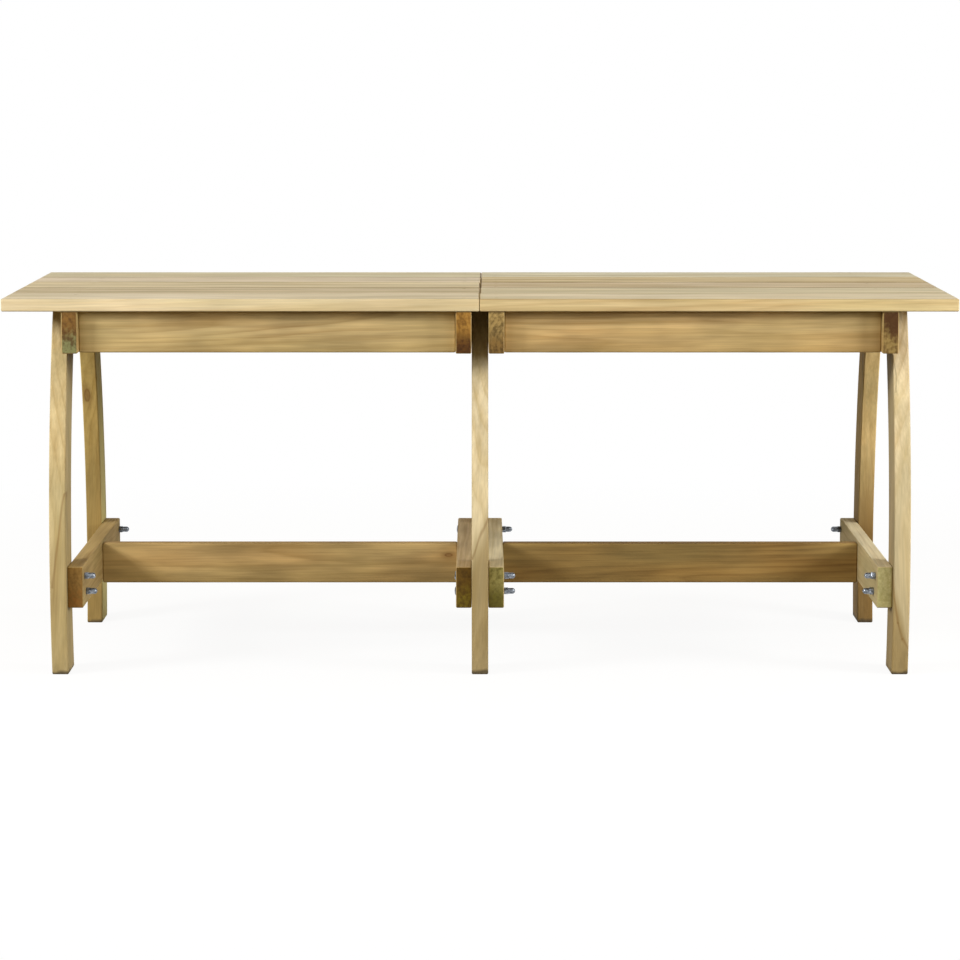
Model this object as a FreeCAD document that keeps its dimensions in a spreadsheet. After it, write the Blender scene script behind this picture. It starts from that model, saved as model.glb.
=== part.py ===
import FreeCAD, Part
import math
import os
import Sketcher

# Garden table of pressure-treated pine. Three bolted leg frames stand under a top made in two halves.
# Each frame has two bowed legs, a batten or two under the top, and a stretcher or two near the floor.
# Frame: millimetres, origin on the floor under the middle of the top, +X along the top, +Z up.

Vector = FreeCAD.Vector
Constraint = Sketcher.Constraint

doc = FreeCAD.newDocument("garden_table")

# Driving sizes: every one can be changed by itself.
SIZES = (
    ("top_length", 1915, "whole top, over both halves"),
    ("half_gap", 2, "slot between the two halves of the top"),
    ("table_height", 770, "floor to upper face of the top"),
    ("plank_count", 5, "planks side by side in each half"),
    ("plank_width", 148, "top plank, across the grain"),
    ("plank_thickness", 26, "top plank"),
    ("plank_gap", 5, "drain slot between planks"),
    ("board_thickness", 32, "battens, aprons, stretchers and rails"),
    ("board_height", 85, "battens, aprons, stretchers and rails"),
    ("arris", 3, "bevel that eases every edge of the timber"),
    ("batten_setback", 5, "batten end behind the long edge of the top"),
    ("apron_setback", 31, "apron face behind the long edge of the top"),
    ("end_overhang", 85, "end of the top beyond the outer face of the end legs"),
    ("leg_thickness", 34, "leg, along the table"),
    ("leg_width", 93, "leg, across its curve"),
    ("leg_bow_radius", 1290, "outer curve of the leg"),
    ("leg_widest_height", 192, "height at which the legs stand furthest apart"),
    ("leg_setback", 20, "widest point of the leg behind the long edge of the top"),
    ("stretcher_top", 222, "floor to upper edge of the stretchers"),
    ("stretcher_setback", 16, "stretcher end behind the outer curve of the leg"),
    ("rail_offset", 16, "middle of the rails behind the middle of the table"),
    ("rail_drop", 5, "upper edge of the rails below that of the stretchers"),
    ("bolt_diameter", 8, "carriage bolt shank, and the side of its square neck"),
    ("bolt_clearance", 0.2, "room all round a bolt in its hole"),
    ("bolt_top_edge", 22, "higher stretcher bolt below the upper edge"),
    ("bolt_bottom_edge", 27, "lower stretcher bolt above the lower edge"),
    ("bolt_side_edge", 26, "stretcher bolt from the stretcher's end or the leg's inner curve"),
    ("head_rim", 6, "mushroom head beyond the shank"),
    ("head_height", 4, "mushroom head, as it stands proud of the timber"),
    ("neck_length", 5, "square neck under the head"),
    ("thread_reach", 13, "bolt beyond the timber, inside the cap nut"),
    ("nut_wall", 1.8, "cap nut around its thread"),
    ("nut_shoulder", 0.5, "hexagon flats beyond the cap"),
    ("nut_hex_height", 9, "hexagon of the cap nut"),
    ("nut_crown", 10, "closed end of the cap nut beyond the bolt"),
    ("nut_bevel", 3, "bevel round the closed end"),
    ("nut_relief", 1, "room between the bolt end and the closed end"),
)

# Layout worked out from the driving sizes.
LAYOUT = (
    ("top_depth", "sizes.plank_count * (sizes.plank_width + sizes.plank_gap) - sizes.plank_gap"),
    ("plank_pitch", "sizes.plank_width + sizes.plank_gap"),
    ("plank_length", "(sizes.top_length - sizes.half_gap) / 2"),
    ("top_underside", "sizes.table_height - sizes.plank_thickness"),
    ("half_plank", "sizes.plank_width / 2"),
    ("half_board", "sizes.board_thickness / 2"),
    ("batten_bottom", "top_underside - sizes.board_height"),
    ("batten_length", "top_depth - 2 * sizes.batten_setback"),
    ("stretcher_bottom", "sizes.stretcher_top - sizes.board_height"),
    ("rail_bottom", "stretcher_bottom - sizes.rail_drop"),
    ("end_leg_x", "sizes.top_length / 2 - sizes.end_overhang"),
    ("end_board_x", "end_leg_x - sizes.leg_thickness"),
    ("middle_board_x", "sizes.leg_thickness / 2"),
    ("bay_start", "middle_board_x + sizes.board_thickness"),
    ("bay_length", "end_board_x - sizes.board_thickness - bay_start"),
    ("apron_y", "top_depth / 2 - sizes.apron_setback - half_board"),
    ("leg_inner_radius", "sizes.leg_bow_radius - sizes.leg_width"),
    ("bow_offset", "sizes.leg_bow_radius + sizes.leg_setback - top_depth / 2"),
    ("stretcher_rise", "sizes.stretcher_top - sizes.board_height / 2 - sizes.leg_widest_height"),
    ("stretcher_reach",
     "sqrt(sizes.leg_bow_radius ^ 2 - stretcher_rise ^ 2) - bow_offset - sizes.stretcher_setback"),
    ("stretcher_length", "2 * stretcher_reach"),
    ("batten_bolt_rise", "sizes.board_height / 2"),
    ("upper_bolt_level", "batten_bottom + batten_bolt_rise"),
    ("upper_bolt_across",
     "sqrt((sizes.leg_bow_radius - sizes.leg_width / 2) ^ 2"
     " - (upper_bolt_level - sizes.leg_widest_height) ^ 2) - bow_offset"),
    ("bolt_high", "sizes.board_height - sizes.bolt_top_edge"),
    ("lower_bolt_high", "stretcher_bottom + bolt_high"),
    ("lower_bolt_low", "stretcher_bottom + sizes.bolt_bottom_edge"),
    ("lower_bolt_outer", "stretcher_reach - sizes.bolt_side_edge"),
    ("lower_bolt_inner",
     "sqrt(leg_inner_radius ^ 2 - (lower_bolt_low - sizes.leg_widest_height) ^ 2)"
     " - bow_offset + sizes.bolt_side_edge"),
    ("bolt_hole", "sizes.bolt_diameter + 2 * sizes.bolt_clearance"),
    ("bolt_radius", "sizes.bolt_diameter / 2"),
    ("head_radius", "bolt_radius + sizes.head_rim"),
    ("head_bow", "(head_radius ^ 2 + sizes.head_height ^ 2) / (2 * sizes.head_height)"),
    ("socket_depth", "sizes.neck_length + sizes.bolt_clearance"),
    ("end_bolt_length", "sizes.leg_thickness + sizes.board_thickness + sizes.thread_reach"),
    ("middle_bolt_length", "end_bolt_length + sizes.board_thickness"),
    ("cap_radius", "bolt_hole / 2 + sizes.nut_wall"),
    ("nut_flat", "cap_radius + sizes.nut_shoulder"),
    ("nut_corner", "nut_flat / cos(30 deg)"),
    ("nut_bore_depth", "sizes.thread_reach + sizes.nut_relief"),
    ("nut_length", "sizes.thread_reach + sizes.nut_crown"),
    ("nut_side", "nut_length - sizes.nut_bevel"),
    ("nut_tip_radius", "cap_radius - sizes.nut_bevel"),
)


def fill_sheet(name, rows):
    sheet = doc.addObject("Spreadsheet::Sheet", name)
    for number, row in enumerate(rows, 1):
        sheet.set(f"A{number}", row[0])
        sheet.set(f"B{number}", row[1])
        sheet.setAlias(f"B{number}", row[0])
        if len(row) == 3:
            sheet.set(f"C{number}", row[2])
    doc.recompute()
    return sheet


sizes = fill_sheet("sizes", [(alias, str(number), note) for alias, number, note in SIZES])
layout = fill_sheet("layout", [(alias, "=" + formula) for alias, formula in LAYOUT])
size_names = {row[0] for row in SIZES}


def cell(alias):
    """The cell of an alias, as an expression names it."""
    return f"sizes.{alias}" if alias in size_names else f"layout.{alias}"


def value(alias):
    """The number in a cell."""
    return float(getattr(sizes if alias in size_names else layout, alias))


def new_body(name):
    body = doc.addObject("PartDesign::Body", name)
    body.Label = name
    return body


def new_sketch(body, name, role):
    """A sketch on one of the body's own origin planes."""
    sketch = body.newObject("Sketcher::SketchObject", name)
    plane = next(feature for feature in body.Origin.OriginFeatures if feature.Role == role)
    sketch.AttachmentSupport = [(plane, "")]
    sketch.MapMode = "FlatFace"
    return sketch


def tie(sketch, kind, *geometry, alias):
    """A dimension of a sketch, bound to a cell."""
    number = sketch.addConstraint(Constraint(kind, *geometry, value(alias)))
    sketch.setExpression(f"Constraints[{number}]", cell(alias))


def tie_point(sketch, geometry, point, across, up, sign):
    """Places a point at a sheet distance to one side of the sketch's origin and above it."""
    origin = (-1, 1)
    ends = (*origin, geometry, point) if sign > 0 else (geometry, point, *origin)
    tie(sketch, "DistanceX", *ends, alias=across)
    tie(sketch, "DistanceY", *origin, geometry, point, alias=up)


def closed_outline(sketch, points):
    """Straight sides through the points, joined end to end."""
    corners = [Vector(x, y, 0) for x, y in points]
    for start, end in zip(corners, corners[1:] + corners[:1]):
        sketch.addGeometry(Part.LineSegment(start, end), False)
    count = len(corners)
    for side in range(count):
        sketch.addConstraint(Constraint("Coincident", side, 2, (side + 1) % count, 1))


def rectangle_section(sketch, width, height, centred):
    """A board's section on the sketch's horizontal axis, centred or from the origin to the right."""
    left = -value(width) / 2 if centred else 0
    right = left + value(width)
    top = value(height)
    closed_outline(sketch, [(left, 0), (right, 0), (right, top), (left, top)])
    for side in (0, 2):
        sketch.addConstraint(Constraint("Horizontal", side))
        sketch.addConstraint(Constraint("Vertical", side + 1))
    if centred:
        sketch.addConstraint(Constraint("Symmetric", 0, 1, 0, 2, -1, 1))
    else:
        sketch.addConstraint(Constraint("Coincident", 0, 1, -1, 1))
    tie(sketch, "DistanceX", 0, 1, 0, 2, alias=width)
    tie(sketch, "DistanceY", 1, 1, 1, 2, alias=height)


def ease_edges(body, base):
    """Bevels every edge of a sawn piece."""
    bevel = body.newObject("PartDesign::Chamfer", "eased_edges")
    bevel.Base = (base, [f"Edge{number}" for number in range(1, len(base.Shape.Edges) + 1)])
    bevel.setExpression("Size", cell("arris"))
    doc.recompute()


def cut(body, sketch, name, depth=None):
    """Cuts a sketch into the body: to a depth along +X, or right through both ways."""
    before = body.Shape.Volume
    pocket = body.newObject("PartDesign::Pocket", name)
    pocket.Profile = sketch
    if depth:
        pocket.Reversed = True
        pocket.setExpression("Length", cell(depth))
    else:
        pocket.SideType = "Symmetric"
        pocket.Type = "ThroughAll"
    doc.recompute()
    if before - body.Shape.Volume < 1:
        raise RuntimeError(f"{name} of {body.Label} cuts nothing")


def sawn_board(name, axis, width, height, length):
    """A planed board along X, from its origin, or along Y, centred, with eased edges."""
    body = new_body(name)
    section = new_sketch(body, "section", "YZ_Plane" if axis == "X" else "XZ_Plane")
    rectangle_section(section, width, height, centred=axis == "X")
    pad = body.newObject("PartDesign::Pad", "length")
    pad.Profile = section
    if axis == "Y":
        pad.SideType = "Symmetric"
    pad.setExpression("Length", cell(length))
    doc.recompute()
    ease_edges(body, pad)
    return body


def place(body, x, y, z, turned=False):
    """Puts a body at sheet distances; a leading minus counts the other way."""
    if turned:
        body.Placement = FreeCAD.Placement(Vector(), FreeCAD.Rotation(Vector(0, 0, 1), 180))
    for name, expression in (("x", x), ("y", y), ("z", z)):
        body.setExpression(f"Placement.Base.{name}", expression)


# Where the bolts go through a board, from its middle and its lower edge, and through a leg, from the floor.
BATTEN_BOLTS = (("upper_bolt_across", "batten_bolt_rise"),)
STRETCHER_BOLTS = (("lower_bolt_outer", "bolt_high"), ("lower_bolt_inner", "bolt_bottom_edge"))
LEG_BOLTS = (
    ("upper_bolt_across", "upper_bolt_level"),
    ("lower_bolt_outer", "lower_bolt_high"),
    ("lower_bolt_inner", "lower_bolt_low"),
)
FRONT, BACK = -1, 1


def bolt_holes(body, places, sides):
    """Round clearance holes right through, in the direction of X."""
    sketch = new_sketch(body, "bolt_holes", "YZ_Plane")
    for sign in sides:
        for across, up in places:
            centre = Vector(sign * value(across), value(up), 0)
            ring = Part.Circle(centre, Vector(0, 0, 1), value("bolt_hole") / 2)
            circle = sketch.addGeometry(ring, False)
            tie(sketch, "Diameter", circle, alias="bolt_hole")
            tie_point(sketch, circle, 3, across, up, sign)
    cut(body, sketch, "bolt_hole_cut")


def neck_sockets(body, places, sides):
    """Square sockets for the bolts' necks in the face at local X = 0."""
    sketch = new_sketch(body, "neck_sockets", "YZ_Plane")
    half = value("bolt_hole") / 2
    for sign in sides:
        for across, up in places:
            middle_y, middle_z = sign * value(across), value(up)
            first = sketch.GeometryCount
            corners = [Vector(middle_y + half * y, middle_z + half * z, 0)
                       for y, z in ((-1, -1), (1, -1), (1, 1), (-1, 1))]
            for start, end in zip(corners, corners[1:] + corners[:1]):
                sketch.addGeometry(Part.LineSegment(start, end), False)
            for side in range(4):
                sketch.addConstraint(Constraint("Coincident", first + side, 2, first + (side + 1) % 4, 1))
                level = "Horizontal" if side % 2 == 0 else "Vertical"
                sketch.addConstraint(Constraint(level, first + side))
            middle = sketch.addGeometry(Part.Point(Vector(middle_y, middle_z, 0)), True)
            sketch.addConstraint(Constraint("Symmetric", first, 1, first + 2, 1, middle, 1))
            tie(sketch, "DistanceX", first, 1, first, 2, alias="bolt_hole")
            tie(sketch, "DistanceY", first + 1, 1, first + 1, 2, alias="bolt_hole")
            tie_point(sketch, middle, 1, across, up, sign)
    cut(body, sketch, "neck_socket_cut", "socket_depth")


def bowed_leg(name, sign, sockets):
    """A leg sawn to two concentric arcs, cut level at the floor and under the top."""
    body = new_body(name)
    outline = new_sketch(body, "outline", "YZ_Plane")
    rise = value("leg_widest_height")
    centre = Vector(-sign * value("bow_offset"), rise, 0)
    levels = (0, value("top_underside"))
    bottom, top = (1, 2) if sign > 0 else (2, 1)
    outer, inner, floor_side, top_side = range(4)
    ends = []
    for radius in ("leg_bow_radius", "leg_inner_radius"):
        bow = value(radius)
        low, high = [math.asin((level - rise) / bow) for level in levels]
        turn = (low, high) if sign > 0 else (math.pi - high, math.pi - low)
        circle = Part.Circle(centre, Vector(0, 0, 1), bow)
        outline.addGeometry(Part.ArcOfCircle(circle, *turn), False)
        across = [centre.x + sign * bow * math.cos(angle) for angle in (low, high)]
        ends.append([Vector(y, level, 0) for y, level in zip(across, levels)])
    for level in (0, 1):
        outline.addGeometry(Part.LineSegment(ends[inner][level], ends[outer][level]), False)
    for side, end in ((floor_side, bottom), (top_side, top)):
        outline.addConstraint(Constraint("Coincident", side, 1, inner, end))
        outline.addConstraint(Constraint("Coincident", side, 2, outer, end))
    outline.addConstraint(Constraint("Coincident", outer, 3, inner, 3))
    for point in (1, 2):
        outline.addConstraint(Constraint("PointOnObject", floor_side, point, -1))
    outline.addConstraint(Constraint("Horizontal", top_side))
    tie(outline, "DistanceY", -1, 1, top_side, 1, alias="top_underside")
    tie(outline, "Radius", outer, alias="leg_bow_radius")
    tie(outline, "Radius", inner, alias="leg_inner_radius")
    tie_point(outline, outer, 3, "bow_offset", "leg_widest_height", -sign)
    pad = body.newObject("PartDesign::Pad", "thickness")
    pad.Profile = outline
    pad.setExpression("Length", cell("leg_thickness"))
    doc.recompute()
    ease_edges(body, pad)
    bolt_holes(body, LEG_BOLTS, (sign,))
    if sockets:
        neck_sockets(body, LEG_BOLTS, (sign,))
    return body


def carriage_bolt(name, length):
    """Mushroom head, square neck and round shank along +X, the head bearing at X = 0."""
    body = new_body(name)
    profile = new_sketch(body, "profile", "XY_Plane")
    tall, rim, bow = value("head_height"), value("head_radius"), value("head_bow")
    shank, tip = value("bolt_radius"), value(length)
    middle = Vector(bow - tall, 0, 0)
    dome = Part.Circle(middle, Vector(0, 0, 1), bow)
    head, seat, side, end, axis = range(5)
    profile.addGeometry(Part.ArcOfCircle(dome, math.atan2(rim, -middle.x), math.pi), False)
    corners = ((0, rim), (0, shank), (tip, shank), (tip, 0), (-tall, 0))
    for start, stop in zip(corners, corners[1:]):
        profile.addGeometry(Part.LineSegment(Vector(*start, 0), Vector(*stop, 0)), False)
    for first, second in ((head, seat), (seat, side), (side, end), (end, axis)):
        point = 1 if first == head else 2
        profile.addConstraint(Constraint("Coincident", first, point, second, 1))
    profile.addConstraint(Constraint("Coincident", axis, 2, head, 2))
    for geometry, point in ((head, 3), (axis, 1), (axis, 2)):
        profile.addConstraint(Constraint("PointOnObject", geometry, point, -1))
    for point in (1, 2):
        profile.addConstraint(Constraint("PointOnObject", seat, point, -2))
    profile.addConstraint(Constraint("Horizontal", side))
    profile.addConstraint(Constraint("Vertical", end))
    tie(profile, "DistanceX", axis, 2, -1, 1, alias="head_height")
    tie(profile, "DistanceY", -1, 1, seat, 1, alias="head_radius")
    tie(profile, "DistanceY", -1, 1, seat, 2, alias="bolt_radius")
    tie(profile, "DistanceX", -1, 1, end, 2, alias=length)
    turned = body.newObject("PartDesign::Revolution", "turned")
    turned.Profile = profile
    turned.ReferenceAxis = (profile, ["H_Axis"])
    turned.Angle = 360
    doc.recompute()
    square = new_sketch(body, "neck_square", "YZ_Plane")
    half = value("bolt_radius")
    closed_outline(square, [(-half, -half), (half, -half), (half, half), (-half, half)])
    for start in (0, 2):
        square.addConstraint(Constraint("Horizontal", start))
        square.addConstraint(Constraint("Vertical", start + 1))
    square.addConstraint(Constraint("Symmetric", 0, 1, 2, 1, -1, 1))
    tie(square, "DistanceX", 0, 1, 0, 2, alias="bolt_diameter")
    tie(square, "DistanceY", 1, 1, 1, 2, alias="bolt_diameter")
    neck = body.newObject("PartDesign::Pad", "neck")
    neck.Profile = square
    neck.setExpression("Length", cell("neck_length"))
    doc.recompute()
    return body


def centred_circle(sketch, alias, kind):
    """A circle on the sketch's origin, its diameter or radius bound to a cell."""
    radius = value(alias) / 2 if kind == "Diameter" else value(alias)
    circle = sketch.addGeometry(Part.Circle(Vector(), Vector(0, 0, 1), radius), False)
    sketch.addConstraint(Constraint("Coincident", circle, 3, -1, 1))
    tie(sketch, kind, circle, alias=alias)
    return circle


def cap_nut(name):
    """Hexagon with a round cap that closes over the end of the bolt, bearing at X = 0."""
    body = new_body(name)
    hexagon = new_sketch(body, "hexagon", "YZ_Plane")
    corner = value("nut_corner")
    turns = [math.radians(60 * side) for side in range(6)]
    closed_outline(hexagon, [(corner * math.cos(turn), corner * math.sin(turn)) for turn in turns])
    guide = centred_circle(hexagon, "nut_corner", "Radius")
    hexagon.toggleConstruction(guide)
    for side in range(6):
        hexagon.addConstraint(Constraint("PointOnObject", side, 1, guide))
    for side in range(1, 6):
        hexagon.addConstraint(Constraint("Equal", 0, side))
    hexagon.addConstraint(Constraint("PointOnObject", 0, 1, -1))
    pad = body.newObject("PartDesign::Pad", "hexagon_height")
    pad.Profile = hexagon
    pad.setExpression("Length", cell("nut_hex_height"))
    doc.recompute()
    profile = new_sketch(body, "cap_profile", "XY_Plane")
    outline = (
        (0, 0),
        ("nut_length", 0),
        ("nut_length", "nut_tip_radius"),
        ("nut_side", "cap_radius"),
        (0, "cap_radius"),
    )
    closed_outline(profile, [[value(size) if size else 0 for size in point] for point in outline])
    for corner_number, (along, out) in enumerate(outline):
        for kind, size, axis_line in (("DistanceX", along, -2), ("DistanceY", out, -1)):
            if size:
                tie(profile, kind, -1, 1, corner_number, 1, alias=size)
            else:
                profile.addConstraint(Constraint("PointOnObject", corner_number, 1, axis_line))
    cap = body.newObject("PartDesign::Revolution", "cap")
    cap.Profile = profile
    cap.ReferenceAxis = (profile, ["H_Axis"])
    cap.Angle = 360
    doc.recompute()
    bore = new_sketch(body, "bore", "YZ_Plane")
    centred_circle(bore, "bolt_hole", "Diameter")
    cut(body, bore, "bore_cut", "nut_bore_depth")
    return body


def fastener_group(name, pattern, seat, reversed_way):
    """Copies of a fastener on every bolt line of one leg frame, as separate solids of one node."""
    copies = []
    for sign in (FRONT, BACK):
        for across, up in LEG_BOLTS:
            copy = pattern.Shape.copy()
            copy.translate(Vector(0, sign * value(across), value(up)))
            copies.append(copy)
    group = doc.addObject("Part::Feature", name)
    group.Label = name
    group.Shape = Part.makeCompound(copies)
    half_turn = FreeCAD.Rotation(Vector(0, 0, 1), 180 if reversed_way else 0)
    group.Placement = FreeCAD.Placement(Vector(seat, 0, 0), half_turn)
    return group


nodes = []

# Top planks, counted from the front, in a left and a right half.
for number in range(1, int(value("plank_count")) + 1):
    across = f"layout.half_plank - layout.top_depth / 2 + {number - 1} * layout.plank_pitch"
    for half, start in (("left", "-sizes.top_length / 2"), ("right", "sizes.half_gap / 2")):
        plank = sawn_board(f"{half}_plank_{number}", "X", "plank_width", "plank_thickness", "plank_length")
        place(plank, start, across, "layout.top_underside")
        nodes.append(plank)

# Battens under the top and stretchers near the floor, across the table on the legs' inner faces.
CROSS_BOARDS = (
    ("left_end", "-layout.end_board_x", False, False),
    ("left_middle", "-layout.bay_start", False, True),
    ("right_middle", "layout.middle_board_x", False, False),
    ("right_end", "layout.end_board_x", True, False),
)
for label, start, turned, heads_here in CROSS_BOARDS:
    for kind, length, level, places in (
        ("batten", "batten_length", "layout.batten_bottom", BATTEN_BOLTS),
        ("stretcher", "stretcher_length", "layout.stretcher_bottom", STRETCHER_BOLTS),
    ):
        board = sawn_board(f"{label}_{kind}", "Y", "board_thickness", "board_height", length)
        bolt_holes(board, places, (FRONT, BACK))
        if heads_here:
            neck_sockets(board, places, (FRONT, BACK))
        place(board, start, "0", level, turned)
        nodes.append(board)

# Aprons under both long edges of the top, and one rail near the floor, in each of the two bays.
for half, start in (("left", "-layout.bay_start - layout.bay_length"), ("right", "layout.bay_start")):
    for label, across, level in (
        ("front_apron", "-layout.apron_y", "layout.batten_bottom"),
        ("back_apron", "layout.apron_y", "layout.batten_bottom"),
        ("rail", "sizes.rail_offset", "layout.rail_bottom"),
    ):
        board = sawn_board(f"{half}_{label}", "X", "board_thickness", "board_height", "bay_length")
        place(board, start, across, level)
        nodes.append(board)

# Bowed legs. The right-hand frame is the left-hand one turned half round.
for label, sign in (("front", FRONT), ("back", BACK)):
    left = bowed_leg(f"left_{label}_leg", sign, True)
    place(left, "-layout.end_leg_x", "0", "0")
    middle = bowed_leg(f"middle_{label}_leg", sign, False)
    place(middle, "-layout.middle_board_x", "0", "0")
    right = bowed_leg(f"right_{label}_leg", -sign, True)
    place(right, "layout.end_leg_x", "0", "0", turned=True)
    nodes += [left, middle, right]

# Carriage bolts and cap nuts of the three leg frames.
end_bolt = carriage_bolt("end_bolt_pattern", "end_bolt_length")
middle_bolt = carriage_bolt("middle_bolt_pattern", "middle_bolt_length")
nut = cap_nut("cap_nut_pattern")
end_head, middle_head = value("end_leg_x"), value("bay_start")
end_grip = value("leg_thickness") + value("board_thickness")
middle_grip = end_grip + value("board_thickness")
for label, bolt, head, grip, way in (
    ("left", end_bolt, -end_head, end_grip, 1),
    ("middle", middle_bolt, -middle_head, middle_grip, 1),
    ("right", end_bolt, end_head, end_grip, -1),
):
    nodes.append(fastener_group(f"{label}_frame_bolts", bolt, head, way < 0))
    nodes.append(fastener_group(f"{label}_frame_cap_nuts", nut, head + way * grip, way < 0))

doc.recompute()
for item in doc.Objects:
    if "Invalid" in item.State or "Error" in item.State:
        raise RuntimeError(f"{item.Name} ({item.Label}) did not compute: {item.State}")
for node in nodes:
    if node.Shape.isNull() or not node.Shape.isValid():
        raise RuntimeError(f"{node.Label} has no sound shape")

os.makedirs("parts", exist_ok=True)
for node in nodes:
    node.Shape.exportStep(f"parts/{node.Label}.step")
print(len(nodes), "nodes,", sum(len(node.Shape.Solids) for node in nodes), "solids")
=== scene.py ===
import math
import random

import bmesh
import bpy
from mathutils import Euler, Matrix, Vector, noise


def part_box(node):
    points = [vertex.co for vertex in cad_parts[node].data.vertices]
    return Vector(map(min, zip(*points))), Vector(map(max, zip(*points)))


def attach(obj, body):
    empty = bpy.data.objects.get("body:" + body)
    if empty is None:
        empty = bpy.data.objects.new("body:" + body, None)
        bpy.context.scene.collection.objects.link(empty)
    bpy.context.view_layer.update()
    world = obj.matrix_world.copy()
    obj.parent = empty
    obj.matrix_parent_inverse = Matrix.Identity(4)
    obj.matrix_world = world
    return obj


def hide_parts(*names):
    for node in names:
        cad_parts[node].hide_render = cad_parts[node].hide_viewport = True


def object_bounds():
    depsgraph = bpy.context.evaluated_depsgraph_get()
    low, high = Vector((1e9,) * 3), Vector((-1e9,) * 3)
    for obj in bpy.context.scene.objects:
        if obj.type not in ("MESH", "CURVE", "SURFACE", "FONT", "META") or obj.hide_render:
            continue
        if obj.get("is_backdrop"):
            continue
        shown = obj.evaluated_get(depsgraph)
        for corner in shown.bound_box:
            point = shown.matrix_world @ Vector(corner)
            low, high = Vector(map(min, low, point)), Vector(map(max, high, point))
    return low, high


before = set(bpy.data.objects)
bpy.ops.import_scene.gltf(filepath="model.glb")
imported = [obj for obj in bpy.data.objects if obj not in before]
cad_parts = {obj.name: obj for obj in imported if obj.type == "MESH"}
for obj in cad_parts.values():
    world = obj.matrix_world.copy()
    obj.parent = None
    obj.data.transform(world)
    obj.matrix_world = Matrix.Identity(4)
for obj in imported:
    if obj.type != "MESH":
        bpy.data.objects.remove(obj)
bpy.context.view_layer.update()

# Bowed legs: 34 mm pine plank, bandsawn to two concentric curves and cut level at the floor and under the
# top. The grain runs straight up the plank, a little aslant, so year rings cross the sawn curves as long
# slanting lines. The edges are eased, and the faces carry the faint ripple that planing leaves.
LEG_BOW_RADIUS = 1.290
LEG_WIDTH = 0.093
LEG_WIDEST_HEIGHT = 0.192
LEG_REACH = 0.360
# Without a seed of its own, the noise that draws the ripple would start from the clock.
RIPPLE_SEED = 7
noise.seed_set(RIPPLE_SEED)


def settle(piece):
    """Makes what the piece's modifiers give its own plain mesh."""
    plain = bpy.data.meshes.new_from_object(piece.evaluated_get(bpy.context.evaluated_depsgraph_get()))
    piece.modifiers.clear()
    piece.data = plain


def timber(name, low, high, bow_side=0, sinkings=None):
    """A planed board with eased edges between two corners, drawn in cross sections along its length.

    bow_side is -1 or 1 for a leg that bows to the front or the back. sinkings cut the room for screw heads.
    """
    edge_radius, edge_steps, section_pitch = 0.0028, 3, 0.032
    ripple, ripples_per_metre, own_start = 0.0003, 14, 50
    low, high = low.copy(), high.copy()
    if bow_side:
        low.y, high.y = 0.0, LEG_WIDTH
    size = high - low
    middle = (low + high) / 2
    along = max(range(3), key=lambda axis: size[axis])
    shape = bmesh.new()
    bmesh.ops.create_cube(shape, size=1.0)
    for vertex in shape.verts:
        vertex.co = Vector([middle[k] + vertex.co[k] * size[k] for k in range(3)])
    bmesh.ops.bevel(shape, geom=shape.edges[:], offset=edge_radius, segments=edge_steps, profile=0.5,
                    affect="EDGES")
    cuts = round(size[along] / section_pitch)
    normal = Vector([float(k == along) for k in range(3)])
    for cut in range(1, cuts):
        everything = shape.verts[:] + shape.edges[:] + shape.faces[:]
        cut_place = low + normal * (size[along] * cut / cuts)
        bmesh.ops.bisect_plane(shape, geom=everything, plane_co=cut_place, plane_no=normal)
    for vertex in shape.verts:
        wave = noise.noise_vector(vertex.co * ripples_per_metre + middle * own_start)
        for k in range(3):
            if k != along:
                vertex.co[k] += math.copysign(ripple * (0.5 + 0.5 * wave[k]), middle[k] - vertex.co[k])
        if bow_side:
            rise = vertex.co.z - LEG_WIDEST_HEIGHT
            centre = LEG_BOW_RADIUS - LEG_REACH
            outer = math.sqrt(LEG_BOW_RADIUS ** 2 - rise ** 2) - centre
            inner = math.sqrt((LEG_BOW_RADIUS - LEG_WIDTH) ** 2 - rise ** 2) - centre
            vertex.co.y = bow_side * (inner + vertex.co.y / LEG_WIDTH * (outer - inner))
    bmesh.ops.recalc_face_normals(shape, faces=shape.faces[:])
    for face in shape.faces:
        face.smooth = True
    mesh = bpy.data.meshes.new(name)
    shape.to_mesh(mesh)
    shape.free()
    piece = bpy.data.objects.new(name, mesh)
    bpy.context.scene.collection.objects.link(piece)
    if sinkings:
        drill = piece.modifiers.new("sinkings", "BOOLEAN")
        drill.operation, drill.object = "DIFFERENCE", sinkings
    piece.modifiers.new("flat_faces_stay_flat", "WEIGHTED_NORMAL")
    settle(piece)
    return piece


def linear(colour):
    """An sRGB hex colour as Blender's linear RGBA."""
    parts = [int(colour[k:k + 2], 16) / 255 for k in (1, 3, 5)]
    return [c / 12.92 if c <= 0.04045 else ((c + 0.055) / 1.055) ** 2.4 for c in parts] + [1.0]


def add(tree, kind, inputs=None, out=0, stops=(), **settings):
    """Adds a node with its properties, ramp stops, socket values and links, and returns one output."""
    node = tree.nodes.new(kind)
    for key, setting in settings.items():
        setattr(node, key, setting)
    for socket, source in (inputs or {}).items():
        if isinstance(source, bpy.types.NodeSocket):
            tree.links.new(source, node.inputs[socket])
        else:
            node.inputs[socket].default_value = source
    if stops:
        elements = node.color_ramp.elements
        while len(elements) < len(stops):
            elements.new(1.0)
        for element, (place, shade) in zip(elements, stops):
            element.position = place
            element.color = linear(shade) if isinstance(shade, str) else (shade, shade, shade, 1.0)
    return node.outputs[out]


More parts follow.
